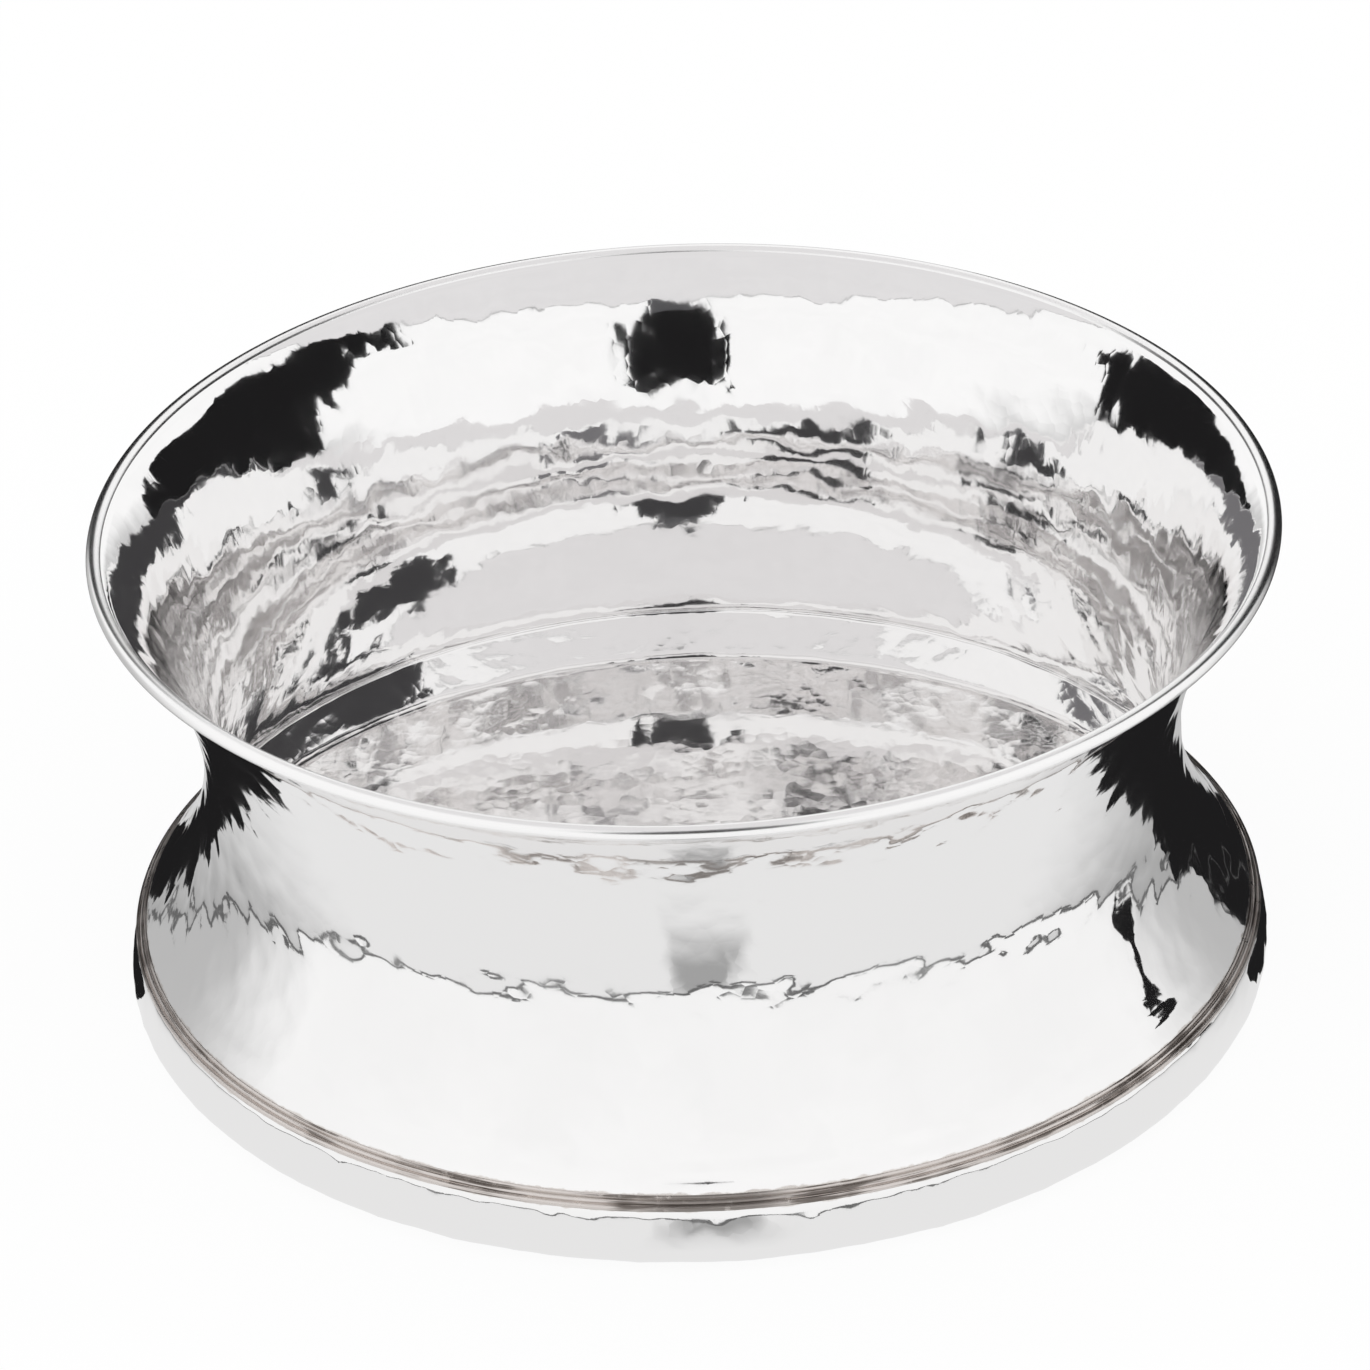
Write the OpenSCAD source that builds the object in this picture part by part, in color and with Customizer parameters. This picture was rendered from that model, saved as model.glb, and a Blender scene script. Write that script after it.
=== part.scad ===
// Wine bottle coaster: a waisted, planished metal wall with an applied round wire at the lip,
// standing on a shouldered foot band that holds the base plate and a baize pad.
// Millimetres, +Z up. The origin is on the axis, on the surface that the coaster stands on.

/* [Overall] */
// Outer diameter over the rim wire
rim_d = 130; // [100:1:170]
// Height from the standing surface to the top of the rim wire
total_h = 56; // [53:0.5:70]
// How far the wall is drawn in at its waist, from the rim wire's outside
waist_draw = 11.25; // [8:0.25:15]
// Height of the waist above the standing surface
waist_z = 29.5; // [26:0.5:34]
// How far the foot band sits in from the rim wire's outside
foot_inset = 1.8; // [0:0.1:3]

/* [Side wall] */
// Thickness of the wall's sheet
wall_t = 0.9; // [0.6:0.1:1.1]

/* [Rim wire] */
// Diameter of the round wire soldered round the lip
rim_wire_d = 1.7; // [1.5:0.1:2.2]

/* [Foot band] */
// Height of the band, from its underside to the seat of the wall
band_h = 7.8; // [6.5:0.1:10]
// Thickness of the band's sheet
band_t = 1; // [0.7:0.1:1.2]
// Outside radius of the band's lower corner
toe_r = 2.5; // [1.8:0.1:2.8]
// Outside radius of the band's shoulder
shoulder_r = 1.7; // [1.4:0.1:2.2]
// Width of the band's underside, from its outer face to its inner edge
flange_w = 5.7; // [4.5:0.1:9]
// How far the wall's foot sits in from the band's outer face
seat_inset = 1.3; // [1:0.1:1.8]

/* [Joint wire] */
// Number of reeds on the face of the flat wire that covers the joint
reed_count = 3; // [2:1:4]
// Width of one reed
reed_w = 0.62; // [0.45:0.01:0.7]
// Share of a reed's width that each of its sloping sides takes
reed_side_share = 0.25; // [0.2:0.01:0.3]
// How far a reed stands out of the wire's back
reed_rise = 0.3; // [0.2:0.05:0.35]
// Thickness of the wire's flat back
reed_back = 0.35; // [0.3:0.05:0.4]
// Slope of the wire's face from the level, in degrees
joint_slope = 40; // [32:1:46]
// How deep the reeds' feet are bedded below the corner of wall and foot band
reed_sink = 0.1; // [0.05:0.05:0.2]

/* [Inner collar] */
// Thickness of the collar's upright foot, which stands on the foot band's underside sheet
collar_t = 1.1; // [0.9:0.1:1.3]
// Bevel round the outer edge of the collar's foot, clear of the foot band's bent corner
collar_bevel = 0.4; // [0.3:0.1:0.6]
// How far the collar stands upright above the base plate, before it leans in
collar_upright = 2.5; // [2.2:0.1:3]
// How far the collar reaches up the wall's inner face, over the wall's seat
collar_rise = 2.9; // [2.4:0.1:3.4]
// Width of the collar's upper edge
collar_land = 0.15; // [0.1:0.05:0.25]

/* [Base plate] */
// Thickness of the base plate
plate_t = 1.4; // [1:0.1:1.6]
// Gap between the base plate and the foot band's underside sheet
plate_rise = 1.3; // [1:0.1:1.5]
// Gap between the plate's edge and the collar round it
plate_gap = 0.1; // [0.1:0.05:0.3]

/* [Baize pad] */
// How far the pad stands out below the foot band
pad_stand = 0.3; // [0.2:0.1:0.8]
// Gap between the pad's edge and the foot band's inner edge
pad_gap = 0.3; // [0.2:0.1:1]

/* [Hidden] */
$fn = 240;

// One overrun for every cut
overrun = 1;

rim_r = rim_d / 2;
waist_r = rim_r - waist_draw;
foot_r = rim_r - foot_inset;
wire_r = rim_wire_d / 2;

// Middle of the rim wire's section, on which the wall's outer face ends
lip = [rim_r - wire_r, total_h - wire_r];

// The foot band runs from its underside up to the seat of the wall
band_z = pad_stand;
seat_z = band_z + band_h;
seat = [foot_r - seat_inset, seat_z];

// Radius of an arc that leaves the waist upright and passes through a point of the section
function sweep(point) =
    let (out = point.x - waist_r, up = point.y - waist_z)
    (out * out + up * up) / (2 * out);

upper_r = sweep(lip);
lower_r = sweep(seat);

// Inner radius of the wall at a height between its seat and its waist
function wall_in_r(height) =
    waist_r + lower_r - sqrt(pow(lower_r + wall_t, 2) - pow(waist_z - height, 2));

seat_in_r = wall_in_r(seat_z);

// The collar stands on the foot band's underside sheet, round the base plate on its pad
flange_top = band_z + band_t;
plate_z = flange_top + plate_rise;
plate_top = plate_z + plate_t;
collar_in_r = seat_in_r - collar_t;
collar_top = seat_z + collar_rise;
plate_r = collar_in_r - plate_gap;

// Inner edge of the foot band's underside
flange_in_r = foot_r - flange_w;

// Section of the joint wire: a flat back, and reeds with sloping sides side by side on it
wire_w = reed_count * reed_w;
reed_side = reed_w * reed_side_share;
reed_outline = [
    for (i = [0 : reed_count - 1])
        each [
            [i * reed_w, 0],
            [i * reed_w + reed_side, reed_rise],
            [(i + 1) * reed_w - reed_side, reed_rise]
        ]
];
joint_outline = concat([[0, -reed_back]], reed_outline, [[wire_w, 0], [wire_w, -reed_back]]);

// A stretch of the wall's section: sheet that follows a circle of the given radius,
// whose middle is level with the waist, between two heights
module swept_sheet(radius, z_low, z_high) {
    intersection() {
        translate([waist_r + radius, waist_z])
            difference() {
                circle(r = radius + wall_t);
                circle(r = radius);
            }
        translate([waist_r - wall_t - overrun, z_low])
            square([radius + wall_t + overrun, z_high - z_low]);
    }
}

// What is cut away to round a square corner whose arc is centred on the origin
module corner_cut(radius) {
    difference() {
        square(radius + overrun);
        circle(r = radius);
    }
}

// Section that is square on the axis side and rounded at both outer corners
module rounded_section(r_in, r_out, z_low, z_high, low_corner, high_corner) {
    difference() {
        translate([r_in, z_low]) square([r_out - r_in, z_high - z_low]);
        translate([r_out - low_corner, z_low + low_corner]) mirror([0, 1]) corner_cut(low_corner);
        translate([r_out - high_corner, z_high - high_corner]) corner_cut(high_corner);
    }
}

module rim_wire_section() {
    translate(lip) circle(r = wire_r);
}

// Places a section on the joint's slope, centred on the corner of wall and foot band
module at_joint() {
    translate(seat) rotate(-joint_slope) translate([-wire_w / 2, -reed_sink]) children();
}

// Groove that the wall and the foot band give to the joint wire, open to the outside
module joint_bed() {
    at_joint() translate([0, -reed_back]) square([wire_w, reed_back + overrun]);
}

// Waisted wall, its lip bedded in the rim wire and its foot standing on the foot band
module side_wall() {
    color("silver")
    rotate_extrude()
    difference() {
        union() {
            swept_sheet(upper_r, waist_z, lip.y);
            swept_sheet(lower_r, seat_z, waist_z);
        }
        rim_wire_section();
        joint_bed();
    }
}

// Smooth round wire that stiffens and finishes the lip
module rim_wire() {
    color("gainsboro")
    rotate_extrude()
    rim_wire_section();
}

// Fine reeded wire laid in solder over the joint of wall and foot band
module joint_wire() {
    color("rosybrown")
    rotate_extrude()
    at_joint() polygon(joint_outline);
}

// Band bent to a C: a shoulder under the wall, an upright face and an underside
module foot_band() {
    color("lightgray")
    rotate_extrude()
    difference() {
        rounded_section(flange_in_r, foot_r, band_z, seat_z, toe_r, shoulder_r);
        rounded_section(
            flange_in_r - overrun, foot_r - band_t, flange_top, seat_z - band_t,
            toe_r - band_t, shoulder_r - band_t
        );
        translate([flange_in_r - overrun, seat_z - band_t - overrun])
            square([seat_in_r - flange_in_r + overrun, band_t + overrun + overrun]);
        joint_bed();
    }
}

// Collar that lines the foot: it stands upright round the base plate, closes the hollow of the
// foot band, and leans in to run out on the wall's inner face
module inner_collar() {
    color("silver")
    rotate_extrude()
    difference() {
        polygon([
            [collar_in_r, flange_top],
            [seat_in_r - collar_bevel, flange_top],
            [seat_in_r, flange_top + collar_bevel],
            [seat_in_r, collar_top],
            [wall_in_r(collar_top) - collar_land, collar_top],
            [collar_in_r, plate_top + collar_upright]
        ]);
        translate([waist_r + lower_r, waist_z]) circle(r = lower_r + wall_t);
    }
}

// Round plate that the bottle stands on
module base_plate() {
    color("darkgray")
    translate([0, 0, plate_z]) cylinder(r = plate_r, h = plate_t);
}

// Thick cloth pad glued under the base plate, inside the foot band's inner edge
module baize_pad() {
    color("darkgreen")
    cylinder(r = flange_in_r - pad_gap, h = plate_z);
}

side_wall();
rim_wire();
joint_wire();
foot_band();
inner_collar();
base_plate();
baize_pad();
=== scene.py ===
# %% [markdown]
# # A planished wine bottle coaster
# The coaster is silversmith's work: a waisted wall raised from one sheet and hammered all over,
# a smooth wire round its lip, a reeded wire over its lower joint, a shallow foot band, a collar
# that lines the foot, a hammered floor and a disc of baize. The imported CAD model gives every
# place and size. This lesson dresses it: each piece is swept round the axis from its section,
# because that is how a raised or spun vessel is shaped.

import math

import bpy
from mathutils import Matrix, Vector


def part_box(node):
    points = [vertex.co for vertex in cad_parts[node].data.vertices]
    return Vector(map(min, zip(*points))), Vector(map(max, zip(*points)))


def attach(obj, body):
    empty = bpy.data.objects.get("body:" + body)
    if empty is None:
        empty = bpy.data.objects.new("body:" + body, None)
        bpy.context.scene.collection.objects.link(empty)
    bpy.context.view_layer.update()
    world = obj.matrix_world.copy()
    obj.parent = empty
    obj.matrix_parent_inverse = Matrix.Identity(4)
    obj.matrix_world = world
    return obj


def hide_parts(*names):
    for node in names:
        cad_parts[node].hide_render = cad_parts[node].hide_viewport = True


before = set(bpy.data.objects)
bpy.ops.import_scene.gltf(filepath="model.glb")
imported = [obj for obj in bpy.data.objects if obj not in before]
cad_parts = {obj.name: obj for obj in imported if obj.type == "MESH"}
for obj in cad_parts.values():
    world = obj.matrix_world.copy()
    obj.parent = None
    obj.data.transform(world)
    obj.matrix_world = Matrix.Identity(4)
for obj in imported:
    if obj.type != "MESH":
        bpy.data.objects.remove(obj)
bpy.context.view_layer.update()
MM = 0.001
print("nodes:", ", ".join(sorted(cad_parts)))

# %% [markdown]
# ## Sizes
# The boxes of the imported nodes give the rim, the wire, the foot band, the collar, the plate and
# the pad. The waist and the wall's sheet don't show in a box, so they are named here, with the
# values that the solids have. Corners, reeds and other sheets are named beside their pieces.

# %% Sizes from the frame
def reach(node):
    """Outer radius, lowest and highest point of a node, in metres."""
    low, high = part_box(node)
    return high.y, low.z, high.z


rim_r, rim_low, rim_top = reach("rim_wire")
foot_r, band_z, seat_z = reach("foot_band")
plate_r, plate_z, plate_top = reach("base_plate")
collar_r, collar_z, collar_top = reach("inner_collar")
pad_r, pad_z, pad_top = reach("baize_pad")
wire_r = (rim_top - rim_low) / 2
lip = Vector((rim_r - wire_r, rim_top - wire_r))

WAIST_DRAW = 11.25 * MM
WAIST_Z = 29.5 * MM
SHEET = 0.9 * MM
SEAT_INSET = 1.3 * MM
waist_r = rim_r - WAIST_DRAW
seat = Vector((foot_r - SEAT_INSET, seat_z))
print(f"rim {rim_r / MM:.2f}, waist {waist_r / MM:.2f}, foot {foot_r / MM:.2f} mm")

# %% [markdown]
# ## Writing nodes as maths
# Both geometry nodes and materials are graphs of sockets. They could be wired by hand, link by
# link, but that hides the sum that they work out. So a small class wraps one socket, and an
# expression such as `1 - mask * 0.5` adds its Math nodes by itself. One method makes any other
# node from its type, its settings and what goes into its sockets.

# %% A socket that can be used in an expression
class Field:
    """One output socket of a node graph."""

    def __init__(self, graph, socket):
        self.graph, self.socket = graph, socket

    def out(self, name):
        """Another output of the same node."""
        return Field(self.graph, self.socket.node.outputs[name])

    def math(self, operation, *others, turned=False):
        """A Math node on this value and others, in turned order if asked."""
        values = [self, *others]
        if turned:
            values.reverse()
        return self.graph.node(
            "ShaderNodeMath", {"operation": operation}, dict(enumerate(values)))

    def __add__(self, other): return self.math("ADD", other)
    def __radd__(self, other): return self.math("ADD", other)
    def __sub__(self, other): return self.math("SUBTRACT", other)
    def __rsub__(self, other): return self.math("SUBTRACT", other, turned=True)
    def __mul__(self, other): return self.math("MULTIPLY", other)
    def __rmul__(self, other): return self.math("MULTIPLY", other)
    def __rtruediv__(self, other): return self.math("DIVIDE", other, turned=True)
    def __gt__(self, other): return self.math("GREATER_THAN", other)


# %% A node tree that is filled by expressions
class Graph:
    """A node tree and the few kinds of node that this lesson needs by name."""

    def __init__(self, tree):
        self.tree = tree

    def node(self, kind, settings=None, inputs=None, out=0):
        """Any node: its settings first, then a value or a link for each socket."""
        made = self.tree.nodes.new(kind)
        for name, value in (settings or {}).items():
            setattr(made, name, value)
        for key, value in (inputs or {}).items():
            if isinstance(value, Field):
                self.tree.links.new(value.socket, made.inputs[key])
            else:
                made.inputs[key].default_value = value
        return Field(self, made.outputs[out]) if made.outputs else None

    def vector(self, operation, *values, **named):
        """A Vector Math node on vectors, or on a vector and its Scale."""
        inputs = dict(enumerate(values))
        inputs.update(named)
        return self.node("ShaderNodeVectorMath", {"operation": operation}, inputs, "Vector")

    def xyz(self, x, y, z):
        """A vector from three numbers."""
        return self.node("ShaderNodeCombineXYZ", None, {"X": x, "Y": y, "Z": z})

    def split(self, vector):
        """The X of a vector. Its Y and Z are outputs of the same node."""
        return self.node("ShaderNodeSeparateXYZ", None, {"Vector": vector}, "X")

    def smooth(self, value, low, high):
        """0 below low, 1 above high, and an even S between them."""
        return self.node(
            "ShaderNodeMapRange", {"interpolation_type": "SMOOTHSTEP"},
            {"Value": value, "From Min": low, "From Max": high})

    def noise(self, place, size, detail=1.0):
        """Soft noise with lumps of about the given size."""
        return self.node("ShaderNodeTexNoise", None, {
            "Vector": place, "Scale": 1 / size, "Detail": detail}, "Fac")

    def cells(self, place, scale):
        """Distance to the middle of the nearest cell: small dents side by side."""
        return self.node("ShaderNodeTexVoronoi", {"feature": "F1"}, {
            "Vector": place, "Scale": scale}, "Distance")


# %% [markdown]
# ## The camera
# The photograph looks down at the coaster from about 31 degrees, from a metre away, through a
# long lens. The picture is turned a little, because the camera wasn't level. A camera could be
# placed by eye, but the outline of a round piece is very sensitive to it. These numbers come
# from a fit of the coaster's outline to the photograph's.

# %% Camera
PHOTO = 1370
SENSOR = 36
CAMERA_ELEVATION = math.radians(30.784)
CAMERA_ROLL = math.radians(-2.29)
CAMERA_DISTANCE = 1021.8 * MM
CAMERA_CLIP = (0.01, 20)
LOOK_AT = Vector((0, 0, 27.4 * MM))
FOCAL_PIXELS = 9267.0
LOOK_AT_PIXEL = (691.95, 745.5)


def make_camera():
    """A camera that sees LOOK_AT at LOOK_AT_PIXEL of the photograph."""
    back = Vector((0, -math.cos(CAMERA_ELEVATION), math.sin(CAMERA_ELEVATION)))
    right = Vector((1, 0, 0))
    up = back.cross(right)
    turn, lean = math.cos(CAMERA_ROLL), math.sin(CAMERA_ROLL)
    axes = (turn * right + lean * up, turn * up - lean * right, back)
    data = bpy.data.cameras.new("camera")
    data.sensor_width = SENSOR
    data.lens = FOCAL_PIXELS / PHOTO * SENSOR
    data.shift_x = (PHOTO / 2 - LOOK_AT_PIXEL[0]) / PHOTO
    data.shift_y = (LOOK_AT_PIXEL[1] - PHOTO / 2) / PHOTO
    data.clip_start, data.clip_end = CAMERA_CLIP
    camera = bpy.data.objects.new("camera", data)
    camera.matrix_world = Matrix.Translation(LOOK_AT + CAMERA_DISTANCE * back) @ (
        Matrix(axes).transposed().to_4x4())
    bpy.context.scene.collection.objects.link(camera)
    bpy.context.scene.camera = camera
    return camera


camera = make_camera()
bpy.context.scene.view_settings.view_transform = "Standard"
print("lens", round(camera.data.lens, 1), "mm")

# %% [markdown]
# ## The studio
# Polished silver has no look of its own: it shows what stands round it. So the studio matters
# as much as the metal. An even white world would make the coaster a flat white shape, and an
# area lamp or two would leave small hard glints. The photograph's reflections, followed back
# from the metal, fit a small white tent that flares upwards round the coaster, so a tent is
# built. Inside the coaster, light goes from wall to wall many times. Blender stops after four
# mirrorings and turns the rest black, so it is given more.

# %% Helpers for the studio
MIRRORINGS = 12
WHITE = (1.0, 1.0, 1.0)
bpy.context.scene.cycles.glossy_bounces = MIRRORINGS


def stage_material(name):
    """A material without nodes, and its graph."""
    material = bpy.data.materials.new(name)
    material.use_nodes = True
    material.cycles.emission_sampling = "NONE"
    graph = Graph(material.node_tree)
    graph.tree.nodes.clear()
    return material, graph


def glow(graph, strength, colour=WHITE):
    """Light of a colour, whose strength is a number or a field."""
    light = graph.node("ShaderNodeEmission", None, {"Color": (*colour, 1), "Strength": strength})
    graph.node("ShaderNodeOutputMaterial", None, {"Surface": light})


def later_reflection(graph):
    """0 where the metal shows the tent itself, and 1 where it shows it in other metal."""
    return graph.node("ShaderNodeLightPath", out="Ray Depth") > 1.5


def new_object(name, vertices, faces):
    """An object with a mesh, linked to the scene."""
    mesh = bpy.data.meshes.new(name)
    mesh.from_pydata(vertices, [], faces)
    mesh.update()
    made = bpy.data.objects.new(name, mesh)
    bpy.context.scene.collection.objects.link(made)
    return made


def studio_only(piece, material):
    """Seen in the metal, but neither by the camera nor as a shade on the floor."""
    piece.data.materials.append(material)
    piece.visible_camera = False
    piece.visible_shadow = False
    piece.visible_diffuse = False


print("mirrorings:", bpy.context.scene.cycles.glossy_bounces)

# %% [markdown]
# ### The tent's cloth
# Lit cloth isn't even. It is a little cloudy, darker near the table, and in shade at both sides.
# In the metal, this gives the soft greys beside the white. A picture of a tent could be wrapped
# round, but a few sums on the cloth's own place are easier to change. The second and later
# reflections come out a little darker, because haze on real silver takes some light each time.

# %% Cloth of the tent
TENT_GLOW = 0.98
TENT_FOOT_SHADE = 0.045
TENT_FOOT_TOP = 80 * MM
TENT_CLOUDS = 0.07
CLOUD_SIZE = 26 * MM
CLOUD_DETAIL = 2.0
SIDE_SHADE = 0.46
LEFT_SIDE = (70, 98)
RIGHT_SIDE = (74, 100)
SIDE_TOP = (50 * MM, 85 * MM)
LATER_LOSS = 0.04


def tent_material():
    """White cloth: cloudy, a little darker near the table, and in shade at both sides."""
    material, graph = stage_material("tent_white")
    place = graph.node("ShaderNodeTexCoord", out="Object")
    spot = graph.split(place)
    azimuth = spot.math("ARCTAN2", spot.out("Y") * -1) * math.degrees(1)
    sides = graph.smooth(azimuth, *RIGHT_SIDE) + graph.smooth(azimuth * -1, *LEFT_SIDE)
    sides = sides * (1 - graph.smooth(spot.out("Z"), *SIDE_TOP))
    clouds = graph.noise(place, CLOUD_SIZE, CLOUD_DETAIL)
    strength = TENT_GLOW - TENT_FOOT_SHADE * (
        1 - graph.smooth(spot.out("Z"), 0.0, TENT_FOOT_TOP))
    strength = (strength + (clouds - 0.5) * TENT_CLOUDS) * (1 - sides * SIDE_SHADE)
    glow(graph, strength * (1 - later_reflection(graph) * LATER_LOSS))
    return material


tent_white = tent_material()
print("cloth:", len(tent_white.node_tree.nodes), "nodes")

# %% [markdown]
# ### The tent and its roof
# The tent is a ring of cloth that is wider at its top. A seam at its foot and one at its top
# show in the metal as thin dark lines. The top is open, and a pale grey ceiling closes it. It
# lights the coaster's floor and lip from above.

# %% Tent
TENT_R = 103 * MM
TENT_FLARE = 0.25
TENT_TOP = 250 * MM
TENT_STEPS = 120
TOP_SEAM = 3 * MM
FOOT_SEAM = 1.5 * MM
SEAM_GLOW = 0.12


def on_tent(azimuth, z, inset=0.0):
    """A point of the tent. Azimuth 0 faces the camera, 90 is to its right."""
    turn = math.radians(azimuth)
    radius = TENT_R + TENT_FLARE * z - inset
    return radius * math.sin(turn), -radius * math.cos(turn), z


def tent_ring(z):
    """Points round the tent at a height."""
    return [on_tent(360 * i / TENT_STEPS, z) for i in range(TENT_STEPS)]


def tent_band(name, z_low, z_high, material):
    """A ring of cloth between two heights."""
    faces = [(i, (i + 1) % TENT_STEPS, TENT_STEPS + (i + 1) % TENT_STEPS, TENT_STEPS + i)
             for i in range(TENT_STEPS)]
    studio_only(new_object(name, tent_ring(z_low) + tent_ring(z_high), faces), material)


def plain_glow(name, colour, strength):
    """A material that glows evenly."""
    material, graph = stage_material(name)
    glow(graph, strength, colour)
    return material


tent_seam = plain_glow("tent_seam", WHITE, SEAM_GLOW)
tent_band("tent_foot_seam", 0.0, FOOT_SEAM, tent_seam)
tent_band("tent_wall", FOOT_SEAM, TENT_TOP - TOP_SEAM, tent_white)
tent_band("tent_top_seam", TENT_TOP - TOP_SEAM, TENT_TOP, tent_seam)
print(f"tent {TENT_R / MM:.0f} mm round the axis, {TENT_TOP / MM:.0f} mm high")

# %% Roof
ROOF = (0.775, 0.765, 0.77)
ROOF_CLOUDS = 0.09
ROOF_CLOUD_SIZE = 24 * MM


def flat_shape(name, outline, material):
    """One face with the given outline, seen in the metal only."""
    studio_only(new_object(name, outline, [tuple(range(len(outline)))]), material)


def roof_material():
    """An even grey ceiling with soft clouds, so that facets show in the coaster's floor."""
    material, graph = stage_material("tent_roof")
    place = graph.node("ShaderNodeTexCoord", out="Object")
    clouds = graph.noise(place, ROOF_CLOUD_SIZE, CLOUD_DETAIL)
    glow(graph, (clouds - 0.5) * ROOF_CLOUDS + 1, ROOF)
    return material


flat_shape("tent_roof", tent_ring(TENT_TOP), roof_material())
print("roof:", TENT_STEPS, "corners")

# %% [markdown]
# ### Hanging cards
# The crisp black shapes in the silver are dark things in the tent: a slot for the lens in front,
# and a black card on either side, towards the back. Silver needs such blacks, or it looks like
# plaster. Each card is a flat outline in degrees round the tent and millimetres up it. Its sides
# are cut into short steps, so that it follows the round tent. Dark metal seen in other metal is
# never quite black, so the cards are lighter in the later reflections.

# %% Corners of the hanging cards
LENS_SLOT = [(-13, 79), (-12, 112), (-8, 150), (-5, 196), (9, 196), (13, 150), (16, 112),
             (17, 79)]
SLOT_TOP = [(-5, 196), (-3, 247), (8, 247), (9, 196)]
RIGHT_CARD = [(106, 1), (104, 40), (103, 62), (97, 85), (92, 110), (85, 140), (80, 160),
              (83, 190), (88, 247), (108, 247), (118, 190), (130, 165), (145, 130),
              (155, 100), (160, 62), (160, 1)]
LEFT_CARD = [(-172, 1), (-175, 62), (-160, 100), (-148, 138), (-140, 165), (-128, 165),
             (-120, 150), (-120, 1)]
RIGHT_GAP = [(77, 24), (80, 24), (85, 3), (81, 3)]
print("lens slot from", LENS_SLOT[0][0], "to", LENS_SLOT[-1][0], "degrees")

# %% Hanging cards
CARD_INSET = 2 * MM
CARD_STEP = 2
BLACK = (0.0125, 0.0122, 0.0128)
DARK = (0.085, 0.084, 0.088)
LATER_BLACK = 3
LATER_GREY = 13


def fading_card(name, later):
    """Black in the first reflection, and lighter by so many times in the later ones."""
    material, graph = stage_material(name)
    glow(graph, later_reflection(graph) * later + 1, BLACK)
    return material


def tent_card(name, corners, material):
    """A card that hangs on the tent. Its corners are pairs of azimuth and height in mm."""
    points = []
    for (a0, z0), (a1, z1) in zip(corners, corners[1:] + corners[:1]):
        steps = max(1, round(max(abs(a1 - a0), abs(z1 - z0) / 2) / CARD_STEP))
        points += [(a0 + (a1 - a0) * i / steps, z0 + (z1 - z0) * i / steps)
                   for i in range(steps)]
    flat_shape(name, [on_tent(a, z * MM, CARD_INSET) for a, z in points], material)


card_black = fading_card("card_black", LATER_BLACK)
card_fading = fading_card("card_fading", LATER_GREY)
hanging = (("lens_slot", LENS_SLOT, card_black),
           ("lens_slot_top", SLOT_TOP, plain_glow("card_dark", DARK, 1.0)),
           ("right_card", RIGHT_CARD, card_black),
           ("left_card", LEFT_CARD, card_fading),
           ("right_gap", RIGHT_GAP, card_black))
for card in hanging:
    tent_card(*card)
print("hanging cards:", len(hanging))

# %% [markdown]
# ### Cards on the table
# Above its waist, the outer wall leans out over the table, so it mirrors the table and not the
# tent. The black at both its sides comes from black cards that lie on the table there.

# %% Cards on the table
TABLE_CARD_RISE = 0.2 * MM
RIGHT_TABLE_CARD = [(64, -11), (72, -7), (86, 14), (103, 22), (112, 38), (150, 80), (190, 125),
                    (175, 140), (120, 85), (80, 60), (67, 44), (62, 30), (64, 14)]
LEFT_TABLE_CARD = [(-64, -5), (-70, -2), (-76, 15), (-81, 32), (-84, 48), (-84, 62), (-72, 62),
                   (-65, 46), (-61, 32), (-63, 16)]

for side, corners in (("right", RIGHT_TABLE_CARD), ("left", LEFT_TABLE_CARD)):
    flat_shape(f"{side}_table_card", [(x * MM, y * MM, TABLE_CARD_RISE) for x, y in corners],
               card_black)
    print(side, "table card:", len(corners), "corners")

# %% [markdown]
# ### The floor and the world
# To the camera, the floor is plain white with a faint shadow. In the metal it is a pale grey,
# and darker towards the lens in front and the cards at the sides. One grey for both would make
# either the background dull or the silver flat, and Light Path's Is Camera Ray tells the two
# apart. The floor can't be seen from below, so that the underside can be looked at, and it lies
# a hair under the pad, because two faces at one height would show as stripes.

# %% Floor
FLOOR_HALF = 3.0
FLOOR_DROP = 0.02 * MM
FLOOR_IN_METAL = 0.82
FLOOR_SHADE = 0.1
LENS_SHADE = 0.55
LENS_SHADE_X = (1.0 * MM, 5.0 * MM, 12.0 * MM)
LENS_SHADE_Y = (66.0 * MM, 92.0 * MM)
SIDE_FLOOR_SHADE = 0.5
SIDE_FLOOR_MIDDLE = -5.0 * MM
SIDE_FLOOR_SLANT = 0.5
SIDE_FLOOR_RUN = (54.0 * MM, 110.0 * MM)


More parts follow.
